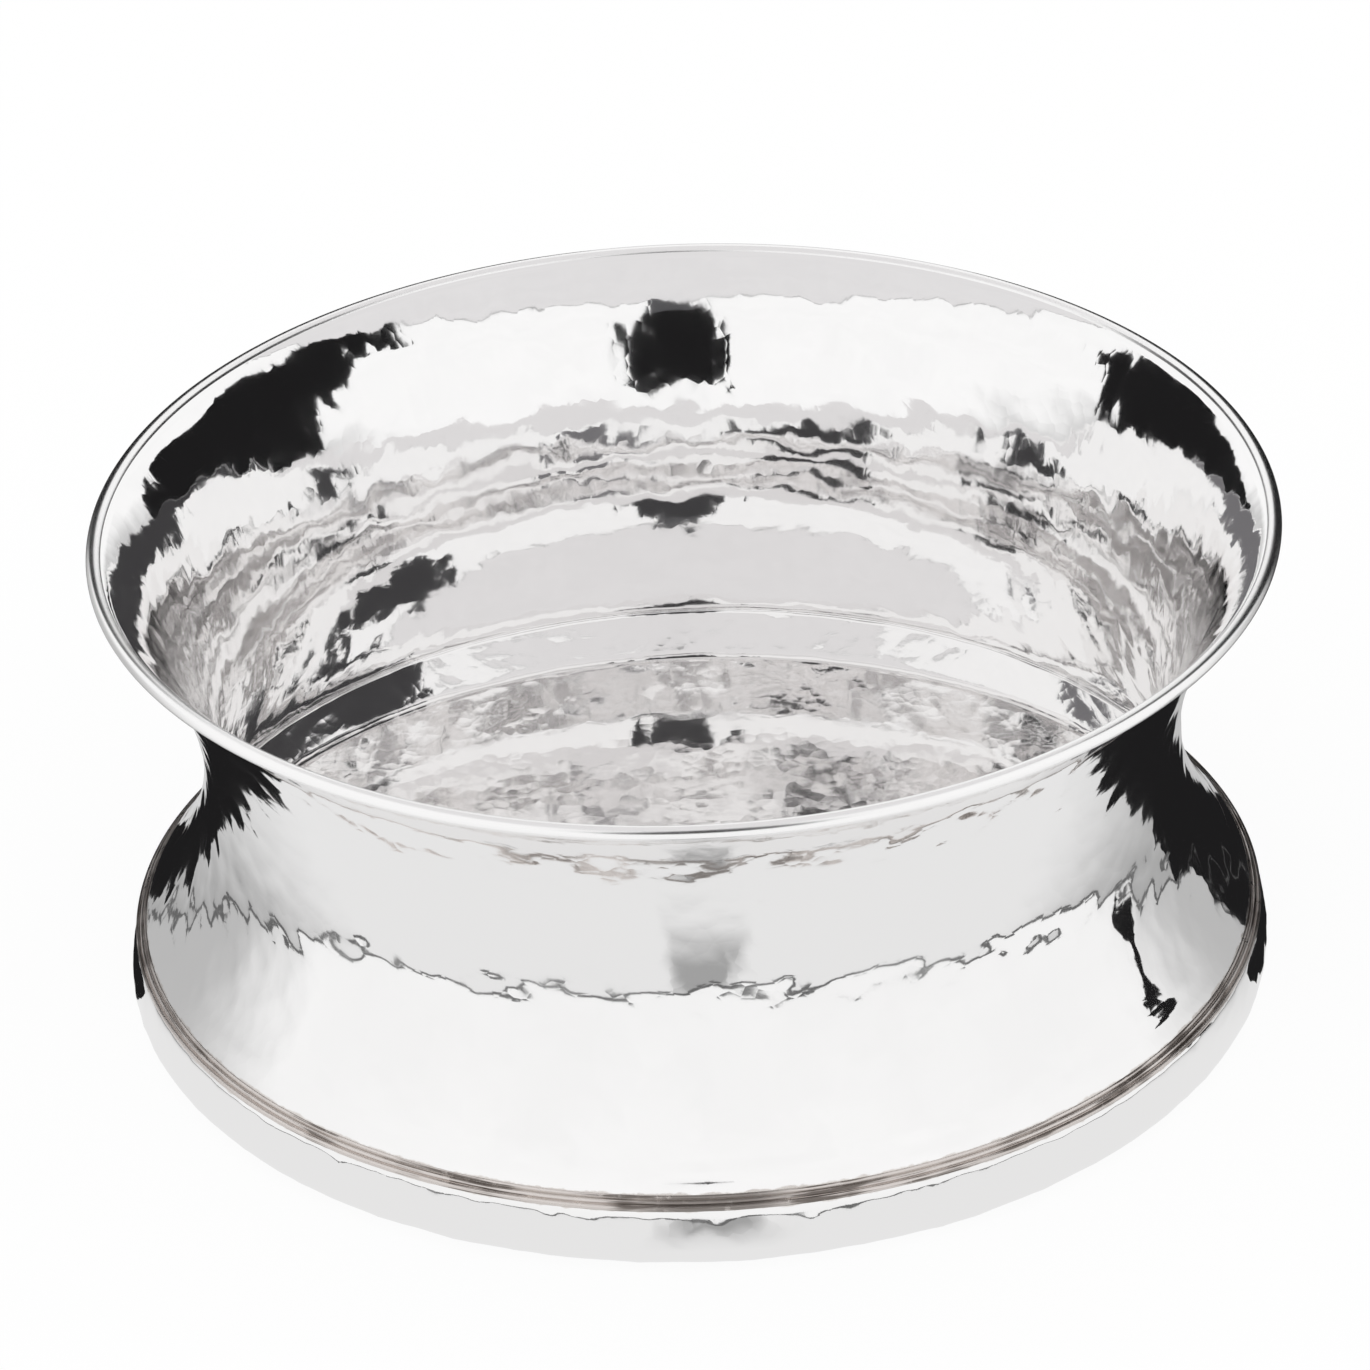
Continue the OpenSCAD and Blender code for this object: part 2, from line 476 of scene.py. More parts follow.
def floor_material():
    """White to the camera with a faint shadow, shaded grey in the metal, clear from below."""
    material, graph = stage_material("floor")
    spot = graph.split(graph.node("ShaderNodeTexCoord", out="Object"))
    middle, inner, outer = LENS_SHADE_X
    aside = graph.smooth((spot - middle).math("ABSOLUTE"), inner, outer)
    ahead = spot.out("Y") * -1
    shaded = (1 - aside) * graph.smooth(ahead, *LENS_SHADE_Y)
    beside = (spot - SIDE_FLOOR_MIDDLE).math("ABSOLUTE") - ahead * SIDE_FLOOR_SLANT
    dimmed = graph.smooth(beside, *SIDE_FLOOR_RUN) * SIDE_FLOOR_SHADE
    white = graph.node("ShaderNodeEmission", None, {"Strength": 1.0})
    shade = graph.node("ShaderNodeBsdfDiffuse", None, {"Color": (*WHITE, 1)})
    seen = graph.node("ShaderNodeMixShader", None, {0: FLOOR_SHADE, 1: white, 2: shade})
    grey = graph.node("ShaderNodeEmission", None, {
        "Strength": FLOOR_IN_METAL * (1 - shaded * LENS_SHADE) * (1 - dimmed)})
    above = graph.node("ShaderNodeMixShader", None, {
        0: graph.node("ShaderNodeLightPath", out="Is Camera Ray"), 1: grey, 2: seen})
    surface = graph.node("ShaderNodeMixShader", None, {
        0: graph.node("ShaderNodeNewGeometry", out="Backfacing"), 1: above,
        2: graph.node("ShaderNodeBsdfTransparent")})
    graph.node("ShaderNodeOutputMaterial", None, {"Surface": surface})
    return material


floor = new_object(
    "floor", [(x * FLOOR_HALF, y * FLOOR_HALF, -FLOOR_DROP)
              for x, y in ((-1, -1), (1, -1), (1, 1), (-1, 1))], [(0, 1, 2, 3)])
floor.data.materials.append(floor_material())

# %% World
world = bpy.data.worlds.new("studio")
world.use_nodes = True
bpy.context.scene.world = world
world.node_tree.nodes["Background"].inputs["Color"].default_value = (*WHITE, 1)
world.node_tree.nodes["Background"].inputs["Strength"].default_value = 1.0

# %% [markdown]
# ## Finishes
# A finish could be painted as a picture, but a picture has a size and a seam. Here every finish
# is worked out from the place on the piece, in millimetres, so that it has no seam and keeps
# its scale. What changes over the surface feeds the colour, the roughness and the bump only.

# %% Helpers for the finishes
def new_material(name, colour, roughness, metallic=1.0):
    """A material, its graph, its shader and the place on the piece in mm."""
    material = bpy.data.materials.new(name)
    material.use_nodes = True
    graph = Graph(material.node_tree)
    shader = graph.tree.nodes["Principled BSDF"]
    shader.inputs["Metallic"].default_value = metallic
    shader.inputs["Base Color"].default_value = (*colour, 1)
    shader.inputs["Roughness"].default_value = roughness
    place = graph.vector("SCALE", graph.node("ShaderNodeTexCoord", out="Object"), Scale=1 / MM)
    return material, graph, shader, place


def feed(shader, **fields):
    """Links fields to sockets of a shader: base_color feeds Base Color."""
    for name, field in fields.items():
        field.graph.tree.links.new(field.socket, shader.inputs[name.replace("_", " ").title()])


def bumpy(graph, height):
    """The normal of a surface raised by a height in mm."""
    return graph.node("ShaderNodeBump", None, {
        "Strength": 1.0, "Distance": MM, "Height": height})


def blend(graph, share, first, second):
    """A colour between two others."""
    return graph.node("ShaderNodeMix", {"data_type": "RGBA"}, {
        0: share, 6: (*first, 1), 7: (*second, 1)}, 2)


def axis_distance(spot):
    """Distance from the axis, from the split place."""
    return (spot * spot + spot.out("Y") * spot.out("Y")).math("SQRT")


# %% [markdown]
# ### Silver
# Planished silver is mirror bright, but never a perfect mirror: each blow leaves a shallow dent,
# and polishing leaves a finer ripple. The large dents are pressed into the mesh later on. Those
# too small for it are a bump, made of cells with rounded floors. A faint haze clouds the polish
# in patches. Solder and tarnish lie in a thin uneven line beside the joint wire.

# %% Silver
SILVER = (0.957, 0.951, 0.949)
TARNISH = (0.72, 0.68, 0.65)
TARNISH_REACH = (1.25, 1.5)
TARNISH_RAGGED = 0.9
TARNISH_LUMP = 1.6
TARNISH_ROUGH = 0.2
HAZE_SIZE = 9.0
HAZE_EDGES = (0.35, 0.7)
HAZE_ROUGH = 0.03
CLEAR_ROUGH = 0.01


def near_joint(graph, place):
    """1 beside the joint wire, where the solder and the tarnish lie, and 0 away from it."""
    spot = graph.split(place)
    out, rise = axis_distance(spot) - seat.x / MM, spot.out("Z") - seat.y / MM
    far = (out * out + rise * rise).math("SQRT")
    far = far + graph.noise(place, TARNISH_LUMP, 2.0) * TARNISH_RAGGED
    return 1 - graph.smooth(far, *TARNISH_REACH)


def hammered(name, roughness, dent, dent_depth, ripple, ripple_depth):
    """Silver with dents and ripples of the given sizes in mm, under haze and tarnish."""
    material, graph, shader, place = new_material(name, SILVER, roughness)
    far = graph.cells(place, 1 / dent)
    height = far * far * dent_depth + graph.noise(place, ripple) * ripple_depth
    haze = graph.smooth(graph.noise(place, HAZE_SIZE, 3.0), *HAZE_EDGES)
    tarnish = near_joint(graph, place)
    feed(shader, normal=bumpy(graph, height),
         roughness=haze * HAZE_ROUGH + (roughness - CLEAR_ROUGH) + tarnish * TARNISH_ROUGH,
         base_color=blend(graph, tarnish, SILVER, TARNISH))
    return material


hammered_silver = hammered("hammered_silver", roughness=0.055, dent=1.5, dent_depth=0.01,
                           ripple=0.8, ripple_depth=0.0012)
polished_silver = hammered("polished_silver", roughness=0.25, dent=6.0, dent_depth=0.01,
                           ripple=3.0, ripple_depth=0.004)
print("silver:", len(hammered_silver.node_tree.nodes), "nodes")

# %% [markdown]
# ### Tarnished wire with a painted reflection
# A polishing cloth slides over the reeds and leaves their furrows brown. So the wire is darker
# than the wall, in fine lines that run round it, and rubbed bright in places. Noise gives the
# lines: its place is the angle, the radius and the height, with the angle squeezed, so that the
# lumps are drawn out along the wire. One stretch at the front is painted dark in the tarnish
# brown: a painted reflection of the lens slot.

# %% Finish of the joint wire
# Dark brown of the tarnish, also used for the painted reflection of the lens slot.
DEEP_TARNISH_AND_SLOT_REFLECTION = (0.2, 0.175, 0.16)
WORN = (0.74, 0.69, 0.66)
# Painted reflection: where the lens slot's dark image is painted on the front of the wire.
PAINTED_SLOT_REFLECTION = (-27.0, -20.0)
PAINTED_SLOT_REFLECTION_SLANT = 0.5
PAINTED_SLOT_REFLECTION_SHARE = 0.8
DARK_EDGES = (0.5, 0.6)
LINE_SQUEEZE = (5, 4)
LINE_SHARE = 0.6
LINE_HEIGHT = 0.04
PATCH_SIZE = 7.0
PATCH_SHARE = 0.4
GRAIN_SIZE = 0.3
GRAIN_HEIGHT = 0.02
RUBBED_SIZE = 1.3
RUBBED_EDGES = (0.56, 0.72)
RUBBED_CLEAN = 0.5
RUBBED_SMOOTH = 0.14
WIRE_ROUGH = 0.34


def dark_lines(graph, spot):
    """Noise drawn out along the wire, from the split place."""
    along, across = LINE_SQUEEZE
    line = graph.xyz(spot.math("ARCTAN2", spot.out("Y")) * along,
                     axis_distance(spot) * across, spot.out("Z") * across)
    return graph.noise(line, 1.0, 3.0)


def reeded(name):
    """Dull wire: tarnish lines, rubbed bright places, a painted slot reflection in front."""
    material, graph, shader, place = new_material(name, TARNISH, 0.3)
    spot = graph.split(place)
    lines = dark_lines(graph, spot)
    patch = graph.noise(graph.xyz(spot, spot.out("Y"), 0.0), PATCH_SIZE, 2.0)
    rubbed = graph.smooth(graph.noise(place, RUBBED_SIZE, 3.0), *RUBBED_EDGES)
    # Painted reflection of the lens slot: a dark stretch on the front of the wire.
    front = 1 - graph.smooth(
        spot.math("ABSOLUTE") + spot.out("Y") * PAINTED_SLOT_REFLECTION_SLANT, *PAINTED_SLOT_REFLECTION)
    dark = graph.smooth(lines * LINE_SHARE + patch * PATCH_SHARE, *DARK_EDGES)
    dark = dark.math("MAXIMUM", front * PAINTED_SLOT_REFLECTION_SHARE) * (1 - rubbed * RUBBED_CLEAN)
    grain = graph.noise(place, GRAIN_SIZE, 2.0)
    feed(shader, base_color=blend(graph, dark, WORN, DEEP_TARNISH_AND_SLOT_REFLECTION),
         roughness=WIRE_ROUGH - rubbed * RUBBED_SMOOTH,
         normal=bumpy(graph, lines * LINE_HEIGHT + grain * GRAIN_HEIGHT))
    return material


tarnished_silver = reeded("tarnished_silver")
print("joint wire:", len(tarnished_silver.node_tree.nodes), "nodes")

# %% [markdown]
# ### Baize
# Baize is a thick wool cloth, felted and napped, so that no weave shows. Its look is a mat of
# short fibres in every direction. Two noises, one drawn out along X and one along Y, stand for
# them, and the higher of the two wins at each place, as the upper fibre hides the lower. Hair
# particles would be truer close by, but the pad is hardly ever seen.

# %% Finish of the pad
BAIZE_DARK = (0.012, 0.06, 0.032)
BAIZE_LIGHT = (0.035, 0.13, 0.075)
BAIZE_ROUGH = 0.95
BAIZE_SHEEN = 0.08
BAIZE_SPECULAR = 0.2
FIBRES_ALONG_X = ((0.8, 1.6, 1.2), 0.6)
FIBRES_ALONG_Y = ((1.6, 0.8, 1.2), 0.7)
FIBRE_DETAIL = 5.0
NAP_EDGES = (0.45, 0.75)
NAP_HEIGHT = 0.12
NAP_SHARE = 0.7
WORN_SIZE = 14.0
WORN_SHARE = 0.3


def fibres(graph, place, squeeze, size):
    """Noise drawn out along the axis that is squeezed least."""
    return graph.noise(graph.vector("MULTIPLY", place, squeeze), size, FIBRE_DETAIL)


def felt(name):
    """Wool baize: short matted fibres, lighter where the nap stands up."""
    material, graph, shader, place = new_material(name, BAIZE_DARK, BAIZE_ROUGH, 0.0)
    nap = fibres(graph, place, *FIBRES_ALONG_X).math(
        "MAXIMUM", fibres(graph, place, *FIBRES_ALONG_Y))
    worn = graph.noise(place, WORN_SIZE, 3.0)
    shade = graph.smooth(nap, *NAP_EDGES) * NAP_SHARE + worn * WORN_SHARE
    feed(shader, base_color=blend(graph, shade, BAIZE_DARK, BAIZE_LIGHT),
         normal=bumpy(graph, nap * NAP_HEIGHT))
    shader.inputs["Sheen Weight"].default_value = BAIZE_SHEEN
    shader.inputs["Specular IOR Level"].default_value = BAIZE_SPECULAR
    return material


baize = felt("green_baize")
print("baize:", len(baize.node_tree.nodes), "nodes")

# %% [markdown]
# ## Sections
# A section is the outline of a cut through a piece, from the axis outwards. It is kept as a
# poly curve, because geometry nodes can take points from a curve at even steps. The radius of
# each point isn't needed for a thickness, so it says how deep the hammer marks are there.

# %% Sections
ARC_STEP = 0.3 * MM


def arc(centre, radius, start, end, step=ARC_STEP):
    """Points of a circular arc from one angle to another, both in radians."""
    count = max(2, math.ceil(abs(end - start) * radius / step))
    return [centre + radius * Vector((math.cos(start + (end - start) * i / count),
                                      math.sin(start + (end - start) * i / count)))
            for i in range(count + 1)]


def section_curve(name, points, weight=None):
    """A section as a poly curve. A function of the point gives the depth of the marks."""
    data = bpy.data.curves.new(name, "CURVE")
    data.dimensions = "3D"
    spline = data.splines.new("POLY")
    spline.points.add(len(points) - 1)
    for target, point in zip(spline.points, points):
        target.co = (point.x, 0, point.y, 1)
        target.radius = weight(point) if weight else 1.0
    made = bpy.data.objects.new(name, data)
    bpy.context.scene.collection.objects.link(made)
    return made


# %% [markdown]
# ## Hammer marks
# A planishing hammer has a slightly domed face, so each blow leaves a shallow round dish that
# cuts into its neighbours. Sculpting thousands of them by hand would take days, and a bump
# alone would leave the outline smooth. Voronoi cells do it: the square of the distance to the
# nearest middle is a dish, and where two dishes meet there is a fine ridge. Bending the place
# with noise keeps the cells from looking drawn with a rule. A slow swell on top is what is left
# of the raising.

# %% Hammer marks
DISH = 2.2
DISH_LEVEL = 0.5
BEND_SCALE = 0.22
BEND = 3.0
SMALL_MARKS_SHIFT = 37.0
SEED_Y, SEED_Z = 0.7, 1.3


def hammer_marks(graph, given, point):
    """Height of the surface over the plain section, in metres."""
    in_mm = graph.vector("SCALE", point, Scale=1 / MM)
    seed = given.out("Seed")
    spot = graph.vector("ADD", in_mm, graph.xyz(seed, seed * SEED_Y, seed * SEED_Z))
    bend = graph.node("ShaderNodeTexNoise", None, {
        "Vector": spot, "Scale": BEND_SCALE, "Detail": 1.0}, "Color")
    bent = graph.vector("ADD", spot, graph.vector(
        "SCALE", graph.vector("SUBTRACT", bend, (0.5, 0.5, 0.5)), Scale=BEND))

    def marks(size, depth, offset):
        place = graph.vector("ADD", bent, (offset, offset, offset))
        far = graph.cells(place, 1 / given.out(size))
        return (far * far * DISH - DISH_LEVEL) * given.out(depth)

    swell = graph.noise(spot, given.out("Swell Size"))
    height = (marks("Mark Size", "Mark Depth", 0.0)
              + marks("Small Mark Size", "Small Mark Depth", SMALL_MARKS_SHIFT)
              + (swell - 0.5) * given.out("Swell Depth"))
    return height * MM


# %% [markdown]
# ## Sweeping a section round the axis
# Every piece is a section turned round the axis. A Screw modifier or a spin would do that, but
# a geometry nodes tree can also press the hammer marks in as it goes. The tree lays out a grid,
# wraps one side of it round the axis and the other along the section, and moves each point
# along the section's normal.

# %% Inputs of the tree
TREE_INPUTS = {
    "Section": ("Object", None), "Around": ("Int", 360), "Along": ("Int", 60),
    "Mark Size": ("Float", 4.0), "Mark Depth": ("Float", 0.0),
    "Small Mark Size": ("Float", 2.0), "Small Mark Depth": ("Float", 0.0),
    "Swell Size": ("Float", 20.0), "Swell Depth": ("Float", 0.0),
    "Seed": ("Float", 0.0), "Material": ("Material", None)}


def new_tree():
    """An empty geometry nodes tree with named inputs for its sizes."""
    tree = bpy.data.node_groups.new("sweep_section", "GeometryNodeTree")
    tree.interface.new_socket("Geometry", in_out="OUTPUT", socket_type="NodeSocketGeometry")
    for name, (kind, default) in TREE_INPUTS.items():
        socket = tree.interface.new_socket(
            name, in_out="INPUT", socket_type="NodeSocket" + kind)
        if default is not None:
            socket.default_value = default
    return tree


print("inputs:", ", ".join(TREE_INPUTS))


# %% Wrapping the grid
def point_and_normal(graph, section):
    """For each point of the grid: its place, its normal and the weight of its marks."""
    place = graph.split(graph.node("GeometryNodeInputPosition"))
    turn = (place + 0.5) * math.tau
    weight = graph.node(
        "GeometryNodeSampleCurve", {"mode": "FACTOR", "use_all_curves": True},
        {"Curves": section, "Value": graph.node("GeometryNodeInputRadius"),
         "Factor": place.out("Y") + 0.5}, "Value")
    spot = graph.split(weight.out("Position"))
    lean = graph.split(weight.out("Tangent"))
    cosine, sine = turn.math("COSINE"), turn.math("SINE")
    point = graph.xyz(spot * cosine, spot * sine, spot.out("Z"))
    across = lean.out("Z") * -1
    return point, graph.xyz(across * cosine, across * sine, lean), weight


# %% The whole tree
WELD = 0.002 * MM


def sweep_tree():
    """The tree that turns a section round the axis and hammers it."""
    graph = Graph(new_tree())
    given = graph.node("NodeGroupInput")
    section = graph.node("GeometryNodeObjectInfo", {"transform_space": "ORIGINAL"},
                         {"Object": given.out("Section")}, "Geometry")
    grid = graph.node("GeometryNodeMeshGrid", None, {
        "Size X": 1.0, "Size Y": 1.0,
        "Vertices X": given.out("Around") + 1, "Vertices Y": given.out("Along") + 1}, "Mesh")
    point, normal, weight = point_and_normal(graph, section)
    moved = graph.vector("SCALE", normal, Scale=hammer_marks(graph, given, point) * weight)
    placed = graph.node("GeometryNodeSetPosition", None, {
        "Geometry": grid, "Position": graph.vector("ADD", point, moved)})
    closed = graph.node("GeometryNodeMergeByDistance", None, {
        "Geometry": placed, "Distance": WELD})
    outward = graph.node("GeometryNodeFlipFaces", None, {"Mesh": closed})
    smooth = graph.node("GeometryNodeSetShadeSmooth", None, {"Geometry": outward})
    whole = graph.node("GeometryNodeRealizeInstances", None, {"Geometry": smooth})
    finished = graph.node("GeometryNodeSetMaterial", None, {
        "Geometry": whole, "Material": given.out("Material")})
    graph.node("NodeGroupOutput", None, {0: finished})
    return graph.tree


sweep = sweep_tree()
print("sweep tree:", len(sweep.nodes), "nodes")

# %% [markdown]
# ## From the tree to a piece
# The tree runs as a modifier. Its inputs are set by their identifiers, before Blender works the
# object out for the first time. The result is then kept as a plain mesh. The volume is printed,
# because a mesh that is turned inside out has a negative one.

# %% Running the tree
def report(piece):
    """Prints the triangles and the volume of a piece."""
    mesh = piece.data
    mesh.calc_loop_triangles()
    volume = sum(mesh.vertices[t.vertices[0]].co.dot(
        mesh.vertices[t.vertices[1]].co.cross(mesh.vertices[t.vertices[2]].co)) / 6
        for t in mesh.loop_triangles)
    print(f"{piece.name}: {len(mesh.loop_triangles)} triangles, {volume / MM ** 3:.0f} mm3")


def swept(name, section, material, around, along, **marks):
    """A finished mesh from the tree, with the modifier removed."""
    host = new_object(name, [], [])
    modifier = host.modifiers.new("sweep", "NODES")
    modifier.node_group = sweep
    values = {"Section": section, "Around": around, "Along": along, "Material": material}
    values.update({key.replace("_", " ").title(): value for key, value in marks.items()})
    for item in sweep.interface.items_tree:
        if item.in_out == "INPUT" and item.name in values:
            modifier[item.identifier] = values[item.name]
    bpy.context.view_layer.update()
    evaluated = host.evaluated_get(bpy.context.evaluated_depsgraph_get())
    mesh = bpy.data.meshes.new_from_object(evaluated)
    host.modifiers.clear()
    host.data = mesh
    mesh.name = name
    bpy.data.objects.remove(section)
    report(host)
    return host


def stands_for(piece, node):
    """Ties a finished piece to the node that it dresses."""
    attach(piece, "root")
    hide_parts(node)


# %% [markdown]
# ## The wall
# The wall is raised from a flat disc or a strip over a stake, blow by blow, until it is waisted
# like a spool. Its section is one closed outline: down the outer face, then back up the inner
# one. Above the waist two arcs would do, but mirrored shapes show every change of slope. So the
# slope itself is written down: upright at the waist, more and more slowly leaning out, and
# turned out over the last few millimetres to the lip.

# %% Upper wall
FLARE_SLOPE = 0.5
FLARE_RUN = 6.05 * MM
LIP_SLOPE = 1.07
FLUSH = 0.02 * MM
WALL_STEPS = 90
flare_z = lip.y - FLARE_RUN
flare_rise = flare_z - WAIST_Z
flare_out = lip.x - waist_r - (FLARE_SLOPE + LIP_SLOPE) / 2 * FLARE_RUN
flare_power = 1 / (1 - flare_out / (FLARE_SLOPE * flare_rise)) - 1


def upper_face(offset):
    """The wall's face from the lip down to the waist, offset towards the axis."""
    points = []
    for i in range(WALL_STEPS, 0, -1):
        z = WAIST_Z + (lip.y - WAIST_Z) * i / WALL_STEPS
        share = min(1.0, (z - WAIST_Z) / flare_rise)
        left = 1 - share
        slope = FLARE_SLOPE * (1 - left ** flare_power)
        out = FLARE_SLOPE * flare_rise * (
            share - (1 - left ** (flare_power + 1)) / (flare_power + 1))
        over = max(0.0, z - flare_z)
        turned = (LIP_SLOPE - FLARE_SLOPE) * over / FLARE_RUN
        out += (FLARE_SLOPE + turned / 2) * over
        thick = offset + (min(offset, wire_r - FLUSH) - offset) * over / FLARE_RUN
        normal = Vector((-1, slope + turned)).normalized()
        points.append(Vector((waist_r + out, z)) + thick * normal)
    return points


print(f"flare power {flare_power:.2f}, lip reached over {flare_out / MM:.2f} mm")

# %% [markdown]
# Below the waist the outer face is one arc, as in the solid. The inner face turns outwards a
# little faster than that, and once more beside the collar, because that brings its reflections
# nearer to where the photograph has them. Behind the collar it is an arc again.

# %% Lower wall
INNER_POWER = 2.6
INNER_TURN_SHARE = 0.12
INNER_TURN_POWER = 6
BACK_STEPS = 8


def sweep_radius(point):
    """Radius of an arc that leaves the waist upright and passes through a point."""
    out, rise = point.x - waist_r, point.y - WAIST_Z
    return (out * out + rise * rise) / (2 * out)


lower_r = sweep_radius(seat)
lower_centre = Vector((waist_r + lower_r, WAIST_Z))


def wall_in_r(z):
    """Inner radius of the wall between its seat and its waist."""
    return waist_r + lower_r - math.sqrt((lower_r + SHEET) ** 2 - (WAIST_Z - z) ** 2)


def behind_collar(first):
    """Points of the wall's inner face from the collar's top down to the seat."""
    heights = [collar_top + (seat.y - collar_top) * i / BACK_STEPS
               for i in range(first, BACK_STEPS + 1)]
    return [Vector((wall_in_r(z), z)) for z in heights]


inner_waist = waist_r - SHEET
inner_foot = wall_in_r(collar_top)


def lower_inner_face():
    """The inner face from the waist down to the collar and behind it to the seat."""
    def run(share):
        steady = share - (1 - (1 - share) ** (INNER_POWER + 1)) / (INNER_POWER + 1)
        turn = share ** (INNER_TURN_POWER + 1)
        return steady + (turn - steady) * INNER_TURN_SHARE

    points = []
    for i in range(WALL_STEPS + 1):
        share = i / WALL_STEPS
        out = run(share) / run(1)
        points.append(Vector((inner_waist + (inner_foot - inner_waist) * out,
                              WAIST_Z + (collar_top - WAIST_Z) * share)))
    return points + behind_collar(1)


print(f"inner face {inner_waist / MM:.2f} mm at the waist, {inner_foot / MM:.2f} at the collar")

# %% [markdown]
# The marks fade out beside the rim wire and the joint, where a hammer can't reach, and they are
# plain behind the collar. Below the waist, the outer face is hammered a little more deeply.

# %% The whole wall
OUTER_WEIGHT = 1.3
WIRE_FADE = 1.6 * MM
SEAT_CLEAR = 1.0 * MM
SEAT_FADE = 0.8 * MM


def wall_weight(point):
    """How deep the marks are at a point of the wall's section."""
    from_wire = ((point - lip).length - wire_r) / WIRE_FADE
    from_seat = ((point - seat).length - SEAT_CLEAR) / SEAT_FADE
    from_collar = 1.0 if point.y > collar_top or point.x > collar_r else 0.0
    free = min(from_collar, 1.0, max(0.0, min(from_wire, from_seat)))
    outside = point.y < WAIST_Z and point.x > wall_in_r(point.y) + SHEET / 2
    return free * (OUTER_WEIGHT if outside else 1.0)


lower_foot = math.asin((WAIST_Z - seat.y) / lower_r)
wall_points = upper_face(0.0) + arc(lower_centre, lower_r, math.pi, math.pi + lower_foot)
wall_points += lower_inner_face()[::-1] + upper_face(SHEET)[::-1]
wall_points.append(wall_points[0])
wall = swept(
    "hammered_wall", section_curve("wall_section", wall_points, wall_weight),
    hammered_silver, around=600, along=160, mark_size=4.2, mark_depth=0.055,
    small_mark_size=2.2, small_mark_depth=0.014, swell_size=18.0, swell_depth=0.45, seed=3.0)
stands_for(wall, "side_wall")

# %% [markdown]
# ## The rim wire
# A round wire soldered round the lip stiffens it and is pleasant to touch. It is drawn through
# a plate, not hammered, so its section is a plain circle and it has no marks. A torus would do
# as well, but the tree is here already and keeps all the pieces alike.

# %% Rim wire
WIRE_STEP = 0.2 * MM
wire_points = arc(lip, wire_r, math.pi, -math.pi, WIRE_STEP)
wire = swept("rim_wire_round", section_curve("wire_section", wire_points),
             polished_silver, around=720, along=36)
stands_for(wire, "rim_wire")

# %% [markdown]
# ## The joint wire
# A flat wire with rounded reeds is laid in solder over the joint of wall and foot, to hide it.
# Its section is worked out level, as x along its face and y out of it, and then turned onto the
# slope between wall and shoulder. A power under one makes each reed full, like a half-round.

# %% Joint wire
JOINT_SLOPE = math.radians(40)
REED_W = 0.62 * MM
REED_COUNT = 3
REED_RISE = 0.3 * MM
REED_BACK = 0.35 * MM
REED_SINK = 0.1 * MM
REED_FULLNESS = 0.6
REED_STEPS = 8


def on_slope(x, y):
    """A point of the joint wire's section: x runs down its face, y stands out of it."""
    turn, lean = math.cos(JOINT_SLOPE), math.sin(JOINT_SLOPE)
    across, out = x - REED_COUNT * REED_W / 2, y - REED_SINK
    return seat + Vector((across * turn + out * lean, out * turn - across * lean))


def reeds():
    """The wire's section: a flat back and rounded reeds side by side."""
    points = [on_slope(0, -REED_BACK), on_slope(0, 0)]
    for i in range(REED_COUNT):
        for k in range(1, REED_STEPS):
            share = k / REED_STEPS
            points.append(on_slope((i + share) * REED_W,
                                   REED_RISE * math.sin(math.pi * share) ** REED_FULLNESS))
        points.append(on_slope((i + 1) * REED_W, 0))
    points.append(on_slope(REED_COUNT * REED_W, -REED_BACK))
    points.append(points[0])
    return points


joint = swept("joint_wire_reeded", section_curve("joint_section", reeds()),
              tarnished_silver, around=720, along=80)
stands_for(joint, "joint_wire")

# %% [markdown]
# ## The foot band
# The foot is a strip bent to a C: a rounded shoulder under the wall, an outer face and an
# underside. A bevelled box would give even corners, but the photograph's reflections ask for a
# tight shoulder that runs out in a slow curve. So the outside is three arcs that meet without a
# corner, and the middle one is fitted to the other two.

# %% Foot band
BAND_SHEET = 1.0 * MM
TOE_R = 2.5 * MM
SHOULDER_R = 1.7 * MM
FLANGE_W = 5.7 * MM
FACE_LOW = math.radians(3)
FACE_LEAN = math.radians(13.5)


def foot_section():
    """A tight shoulder, a face that leans back in a slow curve and a rounded toe."""
    toe = Vector((foot_r - TOE_R, band_z + TOE_R))
    shoulder = Vector((foot_r - SHOULDER_R, seat_z - SHOULDER_R))
    low = Vector((math.cos(FACE_LOW), math.sin(FACE_LOW)))
    high = Vector((math.cos(FACE_LEAN), math.sin(FACE_LEAN)))
    face_foot = toe + TOE_R * low
    face_r = (shoulder.y + SHOULDER_R * high.y - face_foot.y) / (high.y - low.y)
    face = face_foot - face_r * low
    bend = face + (face_r - SHOULDER_R) * high
    seat_in = wall_in_r(seat_z)
    flange_in = foot_r - FLANGE_W
    down = math.pi / 2
    points = [Vector((seat_in, seat_z))]
    points += arc(bend, SHOULDER_R, down, FACE_LEAN)
    points += arc(face, face_r, FACE_LEAN, FACE_LOW)[1:]
    points += arc(toe, TOE_R, FACE_LOW, -down)[1:]
    points += [Vector((flange_in, band_z)), Vector((flange_in, band_z + BAND_SHEET))]
    points += arc(toe, TOE_R - BAND_SHEET, -down, 0)
    points += arc(shoulder, SHOULDER_R - BAND_SHEET, 0, down)
    points += [Vector((seat_in, seat_z - BAND_SHEET)), points[0]]
    return points


foot = swept("foot_band_hammered", section_curve("foot_section", foot_section()),
             hammered_silver, around=600, along=100, mark_size=3.6, mark_depth=0.08,
             small_mark_size=2.0, small_mark_depth=0.014, swell_size=15.0, swell_depth=0.15,
             seed=11.0)
stands_for(foot, "foot_band")

# %% [markdown]
# ## The inner collar
# A low ring lines the foot: it hides the hollow of the band and holds the plate in its place.
# Its foot stands round the plate, its face leans in, and its back lies on the wall, so its
# section takes its back from the wall's own inner face. Only the face over the plate is marked.

# %% Inner collar
COLLAR_SHEET = 1.1 * MM
COLLAR_LAND = 0.15 * MM
COLLAR_BEVEL = 0.4 * MM
COLLAR_STEPS = 24
COLLAR_BACK = 0.5 * MM
AT_PLATE = 0.05 * MM
ON_WALL = 0.02 * MM


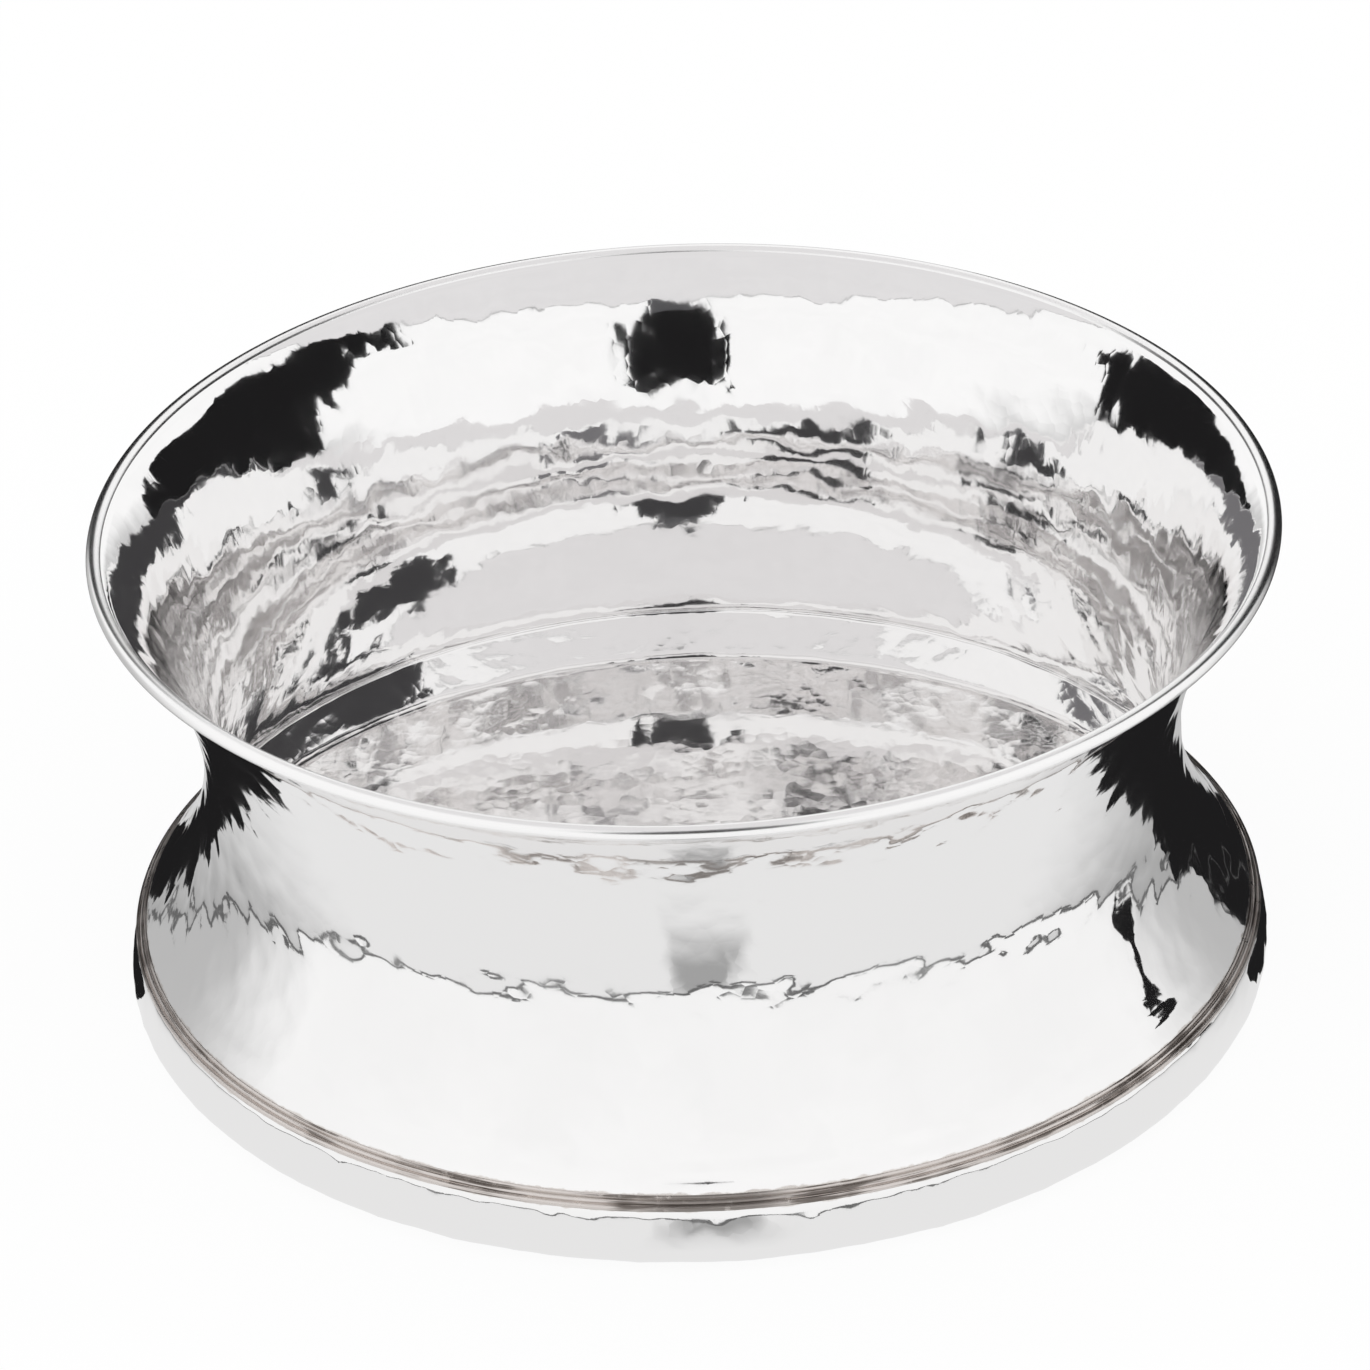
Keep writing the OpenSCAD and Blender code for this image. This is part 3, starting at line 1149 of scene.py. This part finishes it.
def collar_section():
    """The foot, the leaning face, the back on the wall and the bevelled outer edge."""
    low = Vector((collar_r - COLLAR_SHEET, plate_top))
    high = Vector((inner_foot - COLLAR_LAND, collar_top))
    points = [Vector((collar_r - COLLAR_SHEET, collar_z))]
    points += [low + (high - low) * i / COLLAR_STEPS for i in range(COLLAR_STEPS + 1)]
    points += behind_collar(0)
    points += [Vector((collar_r, collar_z + COLLAR_BEVEL)),
               Vector((collar_r - COLLAR_BEVEL, collar_z)), points[0]]
    return points


def collar_weight(point):
    """1 on the face over the plate, and 0 on the foot and the back."""
    back = point.x > collar_r - COLLAR_BACK or point.y < plate_top - AT_PLATE
    on_wall = abs(point.x - wall_in_r(point.y)) < ON_WALL
    return 0.0 if back or on_wall else 1.0


collar = swept(
    "inner_collar_hammered", section_curve("collar_section", collar_section(), collar_weight),
    hammered_silver, around=720, along=60, mark_size=5.0, mark_depth=0.05,
    small_mark_size=2.2, small_mark_depth=0.008, swell_size=12.0, swell_depth=0.15, seed=5.0)
stands_for(collar, "inner_collar")

# %% [markdown]
# ## The base plate
# The floor is a hammered disc. A flat one would be simpler, but a slight dome brings its
# reflections nearer to where the photograph has them. The solid is flat, because a bottle
# stands on it, so the dome is only in this mesh. The marks fade out towards the collar.

# %% Base plate
PLATE_DOME = 1.1 * MM
PLATE_STEPS = 120
PLATE_FADE = 1.5 * MM
AT_FACE = 0.01 * MM


def plate_section():
    """The plate's face from the middle outwards, its edge and its underside."""
    points = []
    for i in range(PLATE_STEPS + 1):
        share = i / PLATE_STEPS
        rise = PLATE_DOME * max(0.0, 1 - share * share) ** 2
        points.append(Vector((plate_r * share, plate_top + rise)))
    points += [Vector((plate_r, plate_z)), Vector((0, plate_z))]
    return points


def plate_weight(point):
    """1 on the face, fading out at its edge, and 0 on the edge and the underside."""
    if point.y < plate_top - AT_FACE:
        return 0.0
    return min(1.0, max(0.0, (plate_r - point.x) / PLATE_FADE))


plate = swept("base_plate_hammered",
              section_curve("plate_section", plate_section(), plate_weight),
              hammered_silver, around=480, along=190, mark_size=5.0, mark_depth=0.018,
              small_mark_size=2.4, small_mark_depth=0.003, swell_size=18.0, swell_depth=0.14,
              seed=23.0)
stands_for(plate, "base_plate")

# %% [markdown]
# ## The baize pad
# The pad keeps the silver off the table. It is a disc cut from thick cloth and glued under the
# plate, so it lies flat and needs no cloth simulation. A small round at its edge is how a cut
# edge of felted cloth looks.

# %% Baize pad
PAD_EDGE = 0.15 * MM
PAD_STEP = 0.05 * MM


def pad_section():
    """A flat disc with softly rounded edges, from the middle of its top to that below."""
    low = Vector((pad_r - PAD_EDGE, pad_z + PAD_EDGE))
    high = Vector((pad_r - PAD_EDGE, pad_top - PAD_EDGE))
    points = [Vector((0, pad_top))]
    points += arc(high, PAD_EDGE, math.pi / 2, 0, PAD_STEP)
    points += arc(low, PAD_EDGE, 0, -math.pi / 2, PAD_STEP)
    points += [Vector((0, pad_z))]
    return points


pad = swept("baize_disc", section_curve("pad_section", pad_section()), baize,
            around=240, along=120)
stands_for(pad, "baize_pad")
